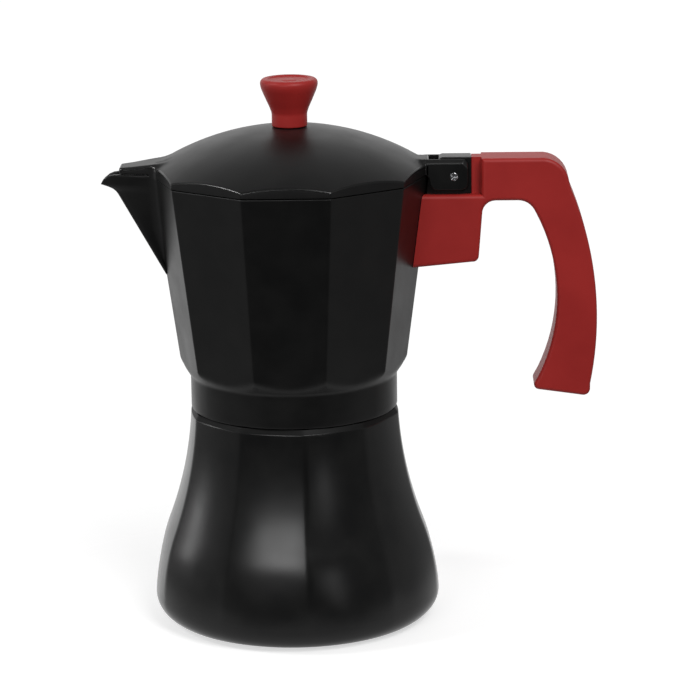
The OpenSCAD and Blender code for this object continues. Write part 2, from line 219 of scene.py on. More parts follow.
def from_cad(node, name, body, material, width, segments=3):
    """A copy of a CAD node with its flat faces whole again and its edges rounded."""
    mesh = frame["nodes"][node].data.copy()
    mesh.name = name
    bm = bmesh.new()
    bm.from_mesh(mesh)
    bmesh.ops.remove_doubles(bm, verts=bm.verts, dist=2e-6)
    bmesh.ops.dissolve_limit(bm, angle_limit=math.radians(0.3), verts=bm.verts, edges=bm.edges)
    bm.to_mesh(mesh)
    bm.free()
    for extra in [a.name for a in mesh.attributes if a.name in ("custom_normal", "UVMap")]:
        mesh.attributes.remove(mesh.attributes[extra])
    soften(mesh, 60)
    obj = place(bpy.data.objects.new(name, mesh), body, material, [node])
    return rounding(obj, width, segments)


BLOCK_DEPTH = 9


def round_sides(obj, width):
    """Rounds the outline edges of a slab in the X-Z plane, apart from those against the chamber."""
    bm = bmesh.new()
    bm.from_mesh(obj.data)
    bmesh.ops.remove_doubles(bm, verts=bm.verts, dist=0.1 * MM)
    half = max(v.co.y for v in bm.verts)
    start = min(v.co.x for v in bm.verts) + BLOCK_DEPTH * MM

    def against_body(edge):
        a, b = (v.co for v in edge.verts)
        return max(a.x, b.x) < start and abs(a.z - b.z) > abs(a.x - b.x)

    rim = [e for e in bm.edges if all(half - abs(v.co.y) < 1e-5 for v in e.verts)
           and e.calc_face_angle(0) > 1 and not against_body(e)]
    bmesh.ops.bevel(bm, geom=rim, offset=width * MM, offset_type="OFFSET", segments=5, profile=0.5,
                    affect="EDGES", clamp_overlap=False)
    bm.to_mesh(obj.data)
    bm.free()
    soften(obj.data, 40)


def smin(a, b, k):
    """The smaller of two values, blended over a width."""
    h = min(1.0, max(0.0, 0.5 + 0.5 * (b - a) / k))
    return b + (a - b) * h - k * h * (1 - h)


def smax(a, b, k):
    return -smin(-a, -b, k)


def interp(x, table):
    """A value read between the rows of a table of pairs."""
    return float(np.interp(x, [p[0] for p in table], [p[1] for p in table]))


# ---- Materials ----

def material(name):
    """A new material: itself, its nodes, its shader and the coordinates on the piece."""
    m = bpy.data.materials.new(name)
    m.use_nodes = True
    nt = m.node_tree
    shader = nt.nodes["Principled BSDF"]
    where = nt.nodes.new("ShaderNodeTexCoord")
    return m, nt, shader, where.outputs["Object"]


def noise(nt, where, scale, detail=3.0, rough=0.5):
    n = nt.nodes.new("ShaderNodeTexNoise")
    n.inputs["Scale"].default_value = scale
    n.inputs["Detail"].default_value = detail
    n.inputs["Roughness"].default_value = rough
    nt.links.new(where, n.inputs["Vector"])
    return n.outputs["Fac"]


def spread(nt, value, low, high, start=0.3, end=0.7):
    """Maps the values between start and end to those between low and high."""
    r = nt.nodes.new("ShaderNodeMapRange")
    r.inputs["From Min"].default_value = start
    r.inputs["From Max"].default_value = end
    r.inputs["To Min"].default_value = low
    r.inputs["To Max"].default_value = high
    nt.links.new(value, r.inputs["Value"])
    return r.outputs["Result"]


def colours(nt, value, *stops):
    r = nt.nodes.new("ShaderNodeValToRGB")
    while len(r.color_ramp.elements) < len(stops):
        r.color_ramp.elements.new(0.5)
    for e, (at, colour) in zip(r.color_ramp.elements, stops):
        e.position = at
        e.color = (*colour, 1)
    nt.links.new(value, r.inputs["Fac"])
    return r.outputs["Color"]


def product(nt, a, b):
    m = nt.nodes.new("ShaderNodeMath")
    m.operation = "MULTIPLY"
    nt.links.new(a, m.inputs[0])
    nt.links.new(b, m.inputs[1])
    return m.outputs["Value"]


def bump(nt, height, distance, strength):
    b = nt.nodes.new("ShaderNodeBump")
    b.inputs["Distance"].default_value = distance
    b.inputs["Strength"].default_value = strength
    nt.links.new(height, b.inputs["Height"])
    return b.outputs["Normal"]


def coated_black(name, rough, grain, shine, tone=1.0):
    """Fine-grained black coating: roughness, depth of the grain in mm, gloss and lightness."""
    m, nt, s, where = material(name)
    cloud = noise(nt, where, 90.0, 4.0)
    fine = noise(nt, where, 2600.0, 2.0)
    dark = (0.0042 * tone, 0.0043 * tone, 0.0044 * tone)
    light = (0.0068 * tone, 0.0068 * tone, 0.0066 * tone)
    nt.links.new(colours(nt, cloud, (0.35, dark), (0.7, light)), s.inputs["Base Color"])
    nt.links.new(spread(nt, cloud, rough * 0.92, rough * 1.08), s.inputs["Roughness"])
    s.inputs["Specular IOR Level"].default_value = shine
    nt.links.new(bump(nt, fine, grain * MM, 0.6), s.inputs["Normal"])
    return m


def moulded_red(name):
    m, nt, s, where = material(name)
    cloud = noise(nt, where, 60.0, 3.0)
    grain = noise(nt, where, 1900.0, 3.0, 0.6)
    nt.links.new(colours(nt, cloud, (0.3, (0.46, 0.024, 0.021)), (0.7, (0.52, 0.03, 0.026))),
                 s.inputs["Base Color"])
    nt.links.new(spread(nt, grain, 0.42, 0.52), s.inputs["Roughness"])
    s.inputs["Specular IOR Level"].default_value = 0.45
    nt.links.new(bump(nt, grain, 0.025 * MM, 0.7), s.inputs["Normal"])
    return m


def turned_metal(name, colour, rough, rings=900.0, depth=0.004):
    """Metal with the fine rings that a lathe leaves."""
    m, nt, s, where = material(name)
    parts = nt.nodes.new("ShaderNodeSeparateXYZ")
    nt.links.new(where, parts.inputs["Vector"])
    flat = nt.nodes.new("ShaderNodeCombineXYZ")
    nt.links.new(parts.outputs["X"], flat.inputs["X"])
    nt.links.new(parts.outputs["Y"], flat.inputs["Y"])
    length = nt.nodes.new("ShaderNodeVectorMath")
    length.operation = "LENGTH"
    nt.links.new(flat.outputs["Vector"], length.inputs[0])
    line = nt.nodes.new("ShaderNodeCombineXYZ")
    nt.links.new(length.outputs["Value"], line.inputs["X"])
    nt.links.new(parts.outputs["Z"], line.inputs["Y"])
    marks = noise(nt, line.outputs["Vector"], rings, 2.0)
    cloud = noise(nt, where, 120.0, 3.0)
    low = tuple(c * 0.86 for c in colour)
    nt.links.new(colours(nt, cloud, (0.3, low), (0.7, colour)), s.inputs["Base Color"])
    s.inputs["Metallic"].default_value = 1.0
    nt.links.new(spread(nt, marks, rough * 0.85, rough * 1.25), s.inputs["Roughness"])
    nt.links.new(bump(nt, marks, depth * MM, 0.8), s.inputs["Normal"])
    return m


def silicone(name):
    m, nt, s, where = material(name)
    cloud = noise(nt, where, 80.0, 3.0)
    fine = noise(nt, where, 900.0, 2.0)
    nt.links.new(colours(nt, cloud, (0.3, (0.66, 0.65, 0.61)), (0.7, (0.74, 0.73, 0.70))),
                 s.inputs["Base Color"])
    nt.links.new(spread(nt, fine, 0.48, 0.62), s.inputs["Roughness"])
    s.inputs["Subsurface Weight"].default_value = 0.15
    s.inputs["Subsurface Radius"].default_value = (0.002, 0.002, 0.0015)
    nt.links.new(bump(nt, fine, 0.02 * MM, 0.6), s.inputs["Normal"])
    return m


BODY_BLACK = coated_black("coating_body", 0.36, 0.016, 0.5)
LID_BLACK = coated_black("coating_lid", 0.40, 0.018, 0.5)
BOILER_BLACK = coated_black("coating_boiler", 0.24, 0.006, 0.5, 1.6)
EDGE_BLACK = coated_black("coating_edge", 0.24, 0.004, 0.6)
SHOULDER_BLACK = coated_black("coating_shoulder", 0.5, 0.012, 0.2)
HINGE_BLACK = coated_black("coating_hinge", 0.34, 0.014, 0.5)
RED = moulded_red("moulded_red")
ALUMINIUM = turned_metal("turned_aluminium", (0.78, 0.78, 0.79), 0.30)
SHEET = turned_metal("pressed_aluminium", (0.74, 0.74, 0.75), 0.36, 500.0, 0.003)
STEEL = turned_metal("plain_steel", (0.60, 0.60, 0.62), 0.28, 1200.0, 0.003)
BASE_STEEL = turned_metal("ringed_steel", (0.55, 0.55, 0.57), 0.30, 700.0, 0.008)
BRASS = turned_metal("machined_brass", (0.72, 0.50, 0.20), 0.26, 1200.0, 0.004)
COPPER = turned_metal("soft_copper", (0.72, 0.38, 0.24), 0.34, 900.0, 0.004)
SEAL = silicone("silicone")


# ---- Upper chamber: a loft of ten-sided sections with the spout drawn out of one corner ----

COLLAR_R, COLLAR_EDGE, COLLAR_TOP, BORE_R = 39.5, 0.5, 96.5, 36.8
CONE_SLOPE, CONE_END = 0.778, 112
WALL, CORNER_ROUND, INNER_ROUND = 2.3, 1.3, 0.9
SPOUT_FOOT, SPOUT_INSIDE, LIP_START = 134.6, 143.5, 160.0
RIM_EDGE = 0.35
FACET_STEPS = (0.025, 0.14, 0.32, 0.5, 0.68, 0.86, 0.975)
SHORT_STEPS = (0.04, 0.2, 0.4, 0.6, 0.8, 0.96)
UNDERSIDE = [(SPOUT_FOOT, 48.0), (166.7, 65.8), (168.5, 67.8), (169.9, TIP_X - 0.1)]
SPOUT_FLOOR = [(SPOUT_INSIDE, 48.0), (168.8, 63.6), (170.6, 69.0), (171.2, TIP_X - 1.0)]
LIP = [(-TIP_X - 1, 169.4), (-TIP_X, 169.9), (-71.2, 171.3), (-69.2, 173.2), (-67.0, 174.0),
       (-64.0, 174.2), (-51.6, 174.2), (-50.6, 173.9), (-49.4, RIM_Z)]


def corner_arc(at, radius, round_r, start, end, steps):
    """Points round a corner of the ten-sided outline, from one normal direction to another."""
    centre = radius - round_r / COS18
    a = math.radians(at)
    out = []
    for i in range(steps + 1):
        t = math.radians(start + (end - start) * i / steps)
        x = centre * math.cos(a) + round_r * math.cos(t)
        y = centre * math.sin(a) + round_r * math.sin(t)
        out.append((x, y))
    return out


def between(a, b, steps):
    """Points on a straight line, at shares of the way from a to b."""
    return [(a[0] + (b[0] - a[0]) * t, a[1] + (b[1] - a[1]) * t) for t in steps]


def bend(a, corner, b, steps):
    """A curve from a to b that is drawn towards a corner."""
    out = []
    for i in range(steps + 1):
        t = i / steps
        shares = (1 - t) ** 2, 2 * t * (1 - t), t * t
        out.append(tuple(shares[0] * p + shares[1] * q + shares[2] * r for p, q, r in zip(a, corner, b)))
    return out


def facets(start, radius, round_r, end_at):
    """From a point on the first facet past four corners, towards the corner at 0 degrees."""
    out = []
    here = start
    for k, at in enumerate((144, 108, 72, 36)):
        arc = corner_arc(at, radius, round_r, at + 18, at - 18, 5)
        out += between(here, arc[0], SHORT_STEPS if k == 0 else FACET_STEPS)
        out += arc
        here = arc[-1]
    out += between(here, end_at, FACET_STEPS)
    return out


def on_first_facet(radius, y):
    return (-radius + y * SLOPE, y)


def section(radius, round_r, tip, reach, nose_r, bulge):
    """Half of a section, from the spout's tip to the corner under the handle."""
    tip = max(tip, radius - round_r * (1 / COS18 - 1))
    joint = on_first_facet(radius, reach)
    centre = (-tip + nose_r, 0.0)
    dx, dy = joint[0] - centre[0], joint[1]
    away = math.hypot(dx, dy)
    turn = math.atan2(dy, dx) + math.acos(min(1.0, nose_r / away))
    turn = min(turn, math.pi * 0.98)
    nose = []
    for i in range(7):
        t = math.pi + (turn - math.pi) * i / 6
        nose.append((centre[0] + nose_r * math.cos(t), max(0.0, nose_r * math.sin(t))))
    touch = nose[-1]
    flank = math.hypot(joint[0] - touch[0], joint[1] - touch[1])
    cut = min(3.4, 0.42 * flank)
    share = cut / max(flank, 1e-6)
    flank_end = tuple(j + (t - j) * share for j, t in zip(joint, touch))
    facet_start = on_first_facet(radius, reach + cut * COS18)
    side = between(touch, flank_end, (0.1, 0.2, 0.32, 0.46, 0.6, 0.74, 0.88))
    raised = []
    for i, (x, y) in enumerate(side):
        raised.append((x, y + bulge * math.sin(math.pi * ((i + 1) / 8) ** 0.7)))
    last = corner_arc(0, radius, round_r, 18, 0, 3)
    body = facets(facet_start, radius, round_r, last[0])
    return nose + raised + bend(flank_end, joint, facet_start, 5) + body + last


def closed(half):
    """Both halves of a section as one ring. The first and last points lie on the middle plane."""
    return list(half) + [(x, -y) for x, y in half[-2:0:-1]]


def grown(z, low, high):
    """Share of the way up from low to high."""
    return min(1.0, max(0.0, (z - low) / (high - low)))


def outer_section(z):
    radius = RIM_R - BODY_TAPER * (RIM_Z - max(z, 97.0))
    u = grown(z, SPOUT_FOOT, 172.7)
    tip = interp(z, UNDERSIDE) if z > SPOUT_FOOT else 0.0
    return closed(section(radius, CORNER_ROUND, tip, 0.62 + 7.7 * u ** 1.3,
                          CORNER_ROUND + 0.9 * u, 0.75 * u ** 2))


def inner_section(z):
    radius = RIM_R - BODY_TAPER * (RIM_Z - z) - WALL / COS18
    u = grown(z, SPOUT_INSIDE, 173.0)
    tip = interp(z, SPOUT_FLOOR) if z > SPOUT_INSIDE else 0.0
    return closed(section(radius, INNER_ROUND, tip, 0.45 + 5.9 * u ** 1.2,
                          INNER_ROUND + 0.1 * u, 0.5 * u ** 2))


def limit_radius(z):
    """Collar, and the cone that trims the corners above it."""
    foot = COLLAR_Z + COLLAR_EDGE
    if z < foot:
        return COLLAR_R - COLLAR_EDGE + math.sqrt(max(0.0, COLLAR_EDGE ** 2 - (foot - z) ** 2))
    return COLLAR_R + CONE_SLOPE * smax(0.0, z - COLLAR_TOP, 0.8)


def trimmed(points, z):
    """A section kept within the collar and the cone."""
    out = []
    for x, y in points:
        r = math.hypot(x, y)
        k = smin(r, limit_radius(z), 0.9) / r if z < CONE_END else 1.0
        out.append((x * k, y * k))
    return out


def ridge(theta, z, low, high):
    """Height of a round screw thread, from 0 to 1, fading out at both ends."""
    turn = (z / THREAD_PITCH - theta / (2 * math.pi)) % 1.0
    wave = max(0.0, 0.5 + 0.75 * math.cos(2 * math.pi * turn))
    fade = min(1.0, max(0.0, (z - low) / 1.5), max(0.0, (high - z) / 1.5))
    return min(1.0, wave) * max(0.0, fade)


def thread_ring(angles, radius, height, z, low, high):
    """One ring of a screw thread. A negative height makes a thread inside a bore."""
    radii = [radius + height * ridge(a, z, low, high) for a in angles]
    return [(r * math.cos(a), r * math.sin(a), z) for a, r in zip(angles, radii)]


def chamber():
    """Up the outside, over the rim, down the inside, and back round the screw bore."""
    rings = []
    levels = [COLLAR_Z + v for v in (0.0, 0.08, 0.25, 0.5)]
    levels += [86.0, 89.0, 92.0, 94.5, 95.5, 96.0]
    levels += [COLLAR_TOP + 0.4 * i for i in range(20)]
    levels += [105.5, 108.0, 112.0, 117.0, 122.0, 127.0, 131.0, 133.5, 134.5, 135.0, 135.5, 136.2, 137.0]
    levels += [138.0 + 1.5 * i for i in range(15)]
    for z in levels:
        rings.append([(x, y, z) for x, y in trimmed(outer_section(z), z)])
    at_top = outer_section(171.0)
    count = len(at_top)
    inside_top = inner_section(171.6)
    tops = [interp(x, LIP) for x, _ in at_top]
    inner_tops = [interp(x, LIP) for x, _ in inside_top]

    def upper_ring(make, top, t):
        out = []
        for i in range(count):
            z = LIP_START + (top[i] - LIP_START) * t
            x, y = make(z)[i]
            out.append((x, y, z))
        return out

    for t in (0.12, 0.24, 0.36, 0.48, 0.58, 0.68, 0.76, 0.84, 0.9, 0.94):
        rings.append(upper_ring(outer_section, tops, t))
    outer_edge = upper_ring(outer_section, tops, 1.0)
    inner_edge = upper_ring(inner_section, inner_tops, 1.0)
    rings.append([(x, y, z - RIM_EDGE) for x, y, z in outer_edge])

    def lip_ring(start, end, tops, share, drop):
        """A ring on top of the rim, in from one of its edges towards the other."""
        out = []
        for a, b, top in zip(start, end, tops):
            s = share * min(0.45, RIM_EDGE / max(math.dist(a[:2], b[:2]), 1e-6))
            out.append((a[0] + (b[0] - a[0]) * s, a[1] + (b[1] - a[1]) * s, top - drop))
        return out

    outer_tops = [z for _, _, z in outer_edge]
    lip_tops = [min(a[2], b[2] + 0.4) for a, b in zip(outer_edge, inner_edge)]
    rings.append(lip_ring(outer_edge, inner_edge, outer_tops, 0.3, 0.1))
    rings.append(lip_ring(outer_edge, inner_edge, outer_tops, 1.0, 0.0))
    rings.append(lip_ring(inner_edge, outer_edge, lip_tops, 1.0, 0.0))
    rings.append(lip_ring(inner_edge, outer_edge, lip_tops, 0.3, 0.1))
    rings.append([(x, y, z - RIM_EDGE) for x, y, z in inner_edge])
    for t in (0.94, 0.88, 0.8, 0.7, 0.58, 0.44, 0.3, 0.15, 0.0):
        rings.append(upper_ring(inner_section, inner_tops, t))
    for z in (157, 154, 151, 148, 146, 144.5, 143.5, 142.5, 138, 130, 120, 110, 106.5, 105.2, 104.4):
        rings.append([(x, y, z) for x, y in inner_section(z)])
    angles = [math.atan2(y, x) for x, y in at_top]

    def round_ring(radius, z):
        return [(radius * math.cos(a), radius * math.sin(a), z) for a in angles]

    floor_z = 104.0
    rings.append([(x * 0.985, y * 0.985, floor_z) for x, y in inner_section(floor_z + 0.2)])
    path = rounded([(36, floor_z), (34, floor_z), (11.4, 113), (10.6, 116), (7.5, 116)], 1.5)
    path += [(7.5, 112), (7.5, 109), (26.3, 99), (26.5, 99), (32.7, 99), (32.7, 94.4), (BORE_R, 94.4)]
    for r, z in path:
        rings.append(round_ring(r, z))
    steps = 44
    top, low = 94.1, COLLAR_Z + 0.7
    for i in range(steps + 1):
        z = top + (low - top) * i / steps
        rings.append(thread_ring(angles, BORE_R, -RIDGE_H, z, 84.6, 93.6))
    rings.append(round_ring(BORE_R + 0.4, COLLAR_Z + 0.15))
    rings.append(round_ring(BORE_R + 0.8, COLLAR_Z))
    points = [p for ring in rings for p in ring]
    faces = ring_faces(len(rings), count, loop=True)
    return piece("chamber_shell", points, faces, "upper", BODY_BLACK,
                 ["upper_chamber"], degrees=50)


chamber()


# ---- Lid: dome with an outline that takes in the cover over the spout and the web of the hinge ----

BEAK_X, BEAK_HALF, BEAK_SLOPE = -lid_low[0], 5.2, 0.2143
CHEEK_IN, CHEEK_OUT = 4.7, 7.0
WEB_X, WEB_HALF = 52.3, CHEEK_OUT
LID_WALL, LID_EDGE = 1.8, 0.55
BEAK_ROOF = [(-64.4, 176.75), (-60.0, 177.2), (-54.0, 178.05), (-48.0, 178.9), (-42.0, 179.3)]


def beak_half(x):
    """Half of the width of the cover over the spout."""
    return BEAK_HALF + BEAK_SLOPE * (x + BEAK_X)


def lid_outline(inset):
    """Half of the lid's outline, drawn in by a distance, from the beak to the web."""
    radius, round_r = LID_R - inset / COS18, max(0.35, 1.1 - inset)
    angle = math.atan(BEAK_SLOPE)
    cosine, sine = math.cos(angle), math.sin(angle)
    x_end = -BEAK_X + inset
    corner = (x_end, BEAK_HALF - inset / cosine + BEAK_SLOPE * inset)
    line = corner[1] - BEAK_SLOPE * corner[0]
    joint_y = (line - BEAK_SLOPE * radius) / (1 - BEAK_SLOPE * SLOPE)
    joint = on_first_facet(radius, joint_y)
    nib = 0.9
    start, stop = (x_end, corner[1] - nib), (corner[0] + nib * cosine, corner[1] + nib * sine)
    out = [(x_end, start[1] * t) for t in (0.0, 0.35, 0.7)]
    out += bend(start, corner, stop, 4)
    reach = math.dist(stop, joint)
    cut = min(3.0, 0.4 * reach)
    end = (joint[0] - cut * cosine, joint[1] - cut * sine)
    after = on_first_facet(radius, joint_y + cut * COS18)
    out += between(stop, end, (0.12, 0.25, 0.4, 0.55, 0.7, 0.85))
    out += bend(end, joint, after, 5)
    web_y = WEB_HALF - inset
    web_x = WEB_X - inset
    turn_x = radius - web_y * SLOPE
    cut = 0.8
    arrive = (turn_x - cut * SIN18, web_y + cut * COS18)
    out += facets(after, radius, round_r, arrive)
    leave = (turn_x + 0.35 * (web_x - turn_x), web_y)
    out += bend(arrive, (turn_x, web_y), leave, 4)
    out += bend((web_x - 0.3, web_y), (web_x, web_y), (web_x, web_y - 0.3), 3)
    out += [(web_x, web_y * t) for t in (0.7, 0.4, 0.15, 0.0)]
    return out


def lid_height(x, y):
    """The dome, blended with the cover over the spout and with the web of the hinge."""
    dome = DOME_C + math.sqrt(max(0.0, DOME_R ** 2 - x * x - y * y))
    if x < -36:
        over = max(0.0, abs(y) - (beak_half(x) - 1.2))
        roof = interp(x, BEAK_ROOF) - 0.45 * over * over
        return smax(dome, roof, 1.3)
    if x > 36:
        over = max(0.0, abs(y) - 5.4)
        return smax(dome, 179.0 - 1.0 * over, 1.0)
    return dome


def lid_shell():
    """Out over the dome, round the edge, and back in along the skirt and the underside."""
    outer = closed(lid_outline(0.0))
    count = len(outer)
    angles = [math.atan2(y, x) for x, y in outer]
    rings = []
    base = 38.0
    for i in range(1, 15):
        r = base * i / 14
        rings.append([(r * math.cos(a), r * math.sin(a)) for a in angles])
    inner = closed(lid_outline(3.2))
    for t in (0.15, 0.3, 0.45, 0.58, 0.7, 0.8, 0.9):
        rings.append([(base * math.cos(a) * (1 - t) + x * t, base * math.sin(a) * (1 - t) + y * t)
                      for a, (x, y) in zip(angles, inner)])
    rings = [[(x, y, lid_height(x, y)) for x, y in ring] for ring in rings]
    edge_start, edge_rings = len(rings) + 5, 6
    for inset in (3.2, 2.2, 1.5, 1.0, 0.75, 0.55, 0.4, 0.27, 0.16, 0.08, 0.02, 0.0):
        drop = 0.0
        if inset < LID_EDGE:
            drop = LID_EDGE - math.sqrt(max(0.0, LID_EDGE ** 2 - (LID_EDGE - inset) ** 2))
        rings.append([(x, y, lid_height(x, y) - drop) for x, y in closed(lid_outline(inset))])

    def foot(x):
        return 174.65 if x < -LID_R - 0.05 else LID_FOOT

    for rise in (0.3, 0.12):
        rings.append([(x, y, foot(x) + rise) for x, y in outer])
    rings.append([(x, y, foot(x)) for x, y in closed(lid_outline(0.25))])

    def plain(angle, inset):
        """Distance to the plain ten-sided outline in one direction."""
        part = (math.degrees(angle) % 36.0) - 18.0
        return (LID_R * COS18 - inset) / math.cos(math.radians(part))

    rings.append([(plain(a, 0.2) * math.cos(a), plain(a, 0.2) * math.sin(a),
                   foot(p[0])) for a, p in zip(angles, outer)])
    rings.append([(plain(a, 0.6) * math.cos(a), plain(a, 0.6) * math.sin(a), LID_FOOT) for a in angles])
    under = DOME_R - LID_WALL
    skirt = [(47.6, LID_FOOT), (47.6, RIM_Z - 1.0), (47.2, RIM_Z - 1.4), (46.5, RIM_Z - 1.4),
             (46.2, RIM_Z - 1.0), (46.2, 176.9), (45.6, 177.9),
             (44.6, DOME_C + math.sqrt(under ** 2 - 44.6 ** 2))]
    for r, z in skirt:
        rings.append([(r * math.cos(a), r * math.sin(a), z) for a in angles])
    for i in range(11, 0, -1):
        r = 42.0 * i / 11
        z = DOME_C + math.sqrt(under ** 2 - r * r)
        rings.append([(r * math.cos(a), r * math.sin(a), z) for a in angles])
    points = [p for ring in rings for p in ring]
    points += [(0, 0, DOME_C + DOME_R), (0, 0, DOME_C + under)]
    faces = ring_faces(len(rings), count, True, True)
    obj = piece("lid_shell", points, faces, "cover", LID_BLACK, ["lid"], degrees=50)
    second_finish(obj, EDGE_BLACK, edge_start * count, (edge_start + edge_rings) * count)


def cheeks():
    """The two ears of the hinge, with a sloping edge along the top."""
    side = [(50.8, 174.0), (52.3, 172.0), (52.7, 169.6), (53.6, 168.2), (55.2, 167.5), (64.6, 167.45),
            (66.2, 168.2), (66.9, 169.8), (66.9, 177.6), (65.5, 179.0), (50.8, 179.0)]
    for name, sign in (("cheek_front", -1), ("cheek_back", 1)):
        points, faces = prism(side, sign * CHEEK_IN, sign * CHEEK_OUT)
        obj = piece(name, points, faces, "cover", HINGE_BLACK)
        bm = bmesh.new()
        bm.from_mesh(obj.data)
        top = [e for e in bm.edges if all(abs(abs(v.co.y) - CHEEK_OUT * MM) < 1e-6
                                          and v.co.z > 177.4 * MM for v in e.verts)]
        bmesh.ops.bevel(bm, geom=top, offset=1.35 * MM, offset_type="OFFSET", segments=1, affect="EDGES")
        bm.to_mesh(obj.data)
        bm.free()
        soften(obj.data, 25)
        rounding(obj, 0.32, 3, 25)


# One end of the pin: radius on a pin of 1.5 mm, distance from the end, depth of the hammer marks
PIN_END = [(1.5, 0.35, 0), (1.5, 0.12, 0), (1.36, 0.0, 0.2), (1.0, 0.0, 0.6), (0.6, 0.02, 1.0),
           (0.25, 0.12, 0.4)]


def pin():
    """Hinge pin with both ends hammered into a star."""
    count = 60
    half = pin_high[1]
    rings = []
    for side in (-1, 1):
        for r, inset, depth in PIN_END:
            reach = r * PIN_R / PIN_END[0][0]
            ring = []
            for i in range(count):
                t = 2 * math.pi * i / count
                mark = 0.22 * depth * max(0.0, math.cos(5 * t)) ** 3
                y = half - inset - mark
                ring.append((PIN_X + reach * math.cos(t), side * y, PIN_Z + reach * math.sin(t)))
            rings.append(ring)
    ends = len(PIN_END)
    rings = rings[:ends][::-1] + rings[ends:]
    points = [p for ring in rings for p in ring]
    points += [(PIN_X, -half + 0.2, PIN_Z), (PIN_X, half - 0.2, PIN_Z)]
    return piece("pin", points, ring_faces(len(rings), count, True, True), "cover", STEEL,
                 ["hinge_pin"], 35)


lid_shell()
cheeks()
pin()


# ---- Bracket of the hinge, on the chamber ----

BRACKET_HALF = 4.4


def bracket():
    """Drawn without the hole for the pin, which the cheeks hide."""
    side = [(49.5, 150), (66, 150), (66, 165.55), (68.2, 165.6), (68.2, 179.65), (57.4, 179.65),
            (56.3, 179.3), (55.75, 178.4), (56.0, 177.4), (56.0, 172.8), (52.0, 172.8), (51.4, 168.0),
            (50.4, 160)]
    points, faces = prism(side, -BRACKET_HALF, BRACKET_HALF)
    obj = piece("bracket", points, faces, "upper", HINGE_BLACK)
    rounding(obj, 0.4, 3, 25)


bracket()


# ---- Boiler: a bell with ten soft panels, a screw neck and a boss for the valve ----

BELL_R = 55.28
WAIST_R, WAIST_Z, BEND_Z = 40.4, 90.3, 37.3
FOOT_H, FOOT_IN, BASE_R, LEDGE_Z = 10.6, 12.0, 45.2, 1.2
SHOULDER_H, SHOULDER_IN = 2.0, 1.1
NECK_R, NECK_BORE_R, BOILER_WALL, BOILER_FLOOR = 35.4, 30.3, 2.8, 4.5
POCKET_R, POCKET_H = 44.05, 1.6
BELL_TURN = 2 * math.atan((BELL_R - WAIST_R) / (WAIST_Z - FOOT_H))
HOLLOW_R = (WAIST_Z - BEND_Z) / math.sin(BELL_TURN)
FULL_R = (BEND_Z - FOOT_H) / math.sin(BELL_TURN)
PANEL_DIP, PANEL_TURN, PANEL_FADE, PANEL_BLEND = 0.026, 97.0, 29.0, 0.008


def bell(z):
    """Radius at a height: a hollow curve above, a full one below it and a round foot."""
    if z > BEND_Z:
        return WAIST_R + HOLLOW_R - math.sqrt(HOLLOW_R ** 2 - (WAIST_Z - z) ** 2)
    if z > FOOT_H:
        return BELL_R - FULL_R + math.sqrt(FULL_R ** 2 - (z - FOOT_H) ** 2)
    return BELL_R - FOOT_IN + FOOT_IN * math.sqrt(1 - (1 - z / FOOT_H) ** 2)


def fade(z):
    """The panels fade out towards the foot."""
    t = min(1.0, z / PANEL_FADE)
    return t * t * (3 - 2 * t)


def panel(theta):
    """Share of the radius in one direction: ten flatter panels that meet in soft edges."""
    off = (math.degrees(theta) - PANEL_TURN) % 36.0
    near = abs(off - 18.0) / 18.0
    this = 1 - PANEL_DIP * (1 - near * near)
    other = 1 - PANEL_DIP * (1 - (2 - near) ** 2)
    return smin(this, other, PANEL_BLEND)


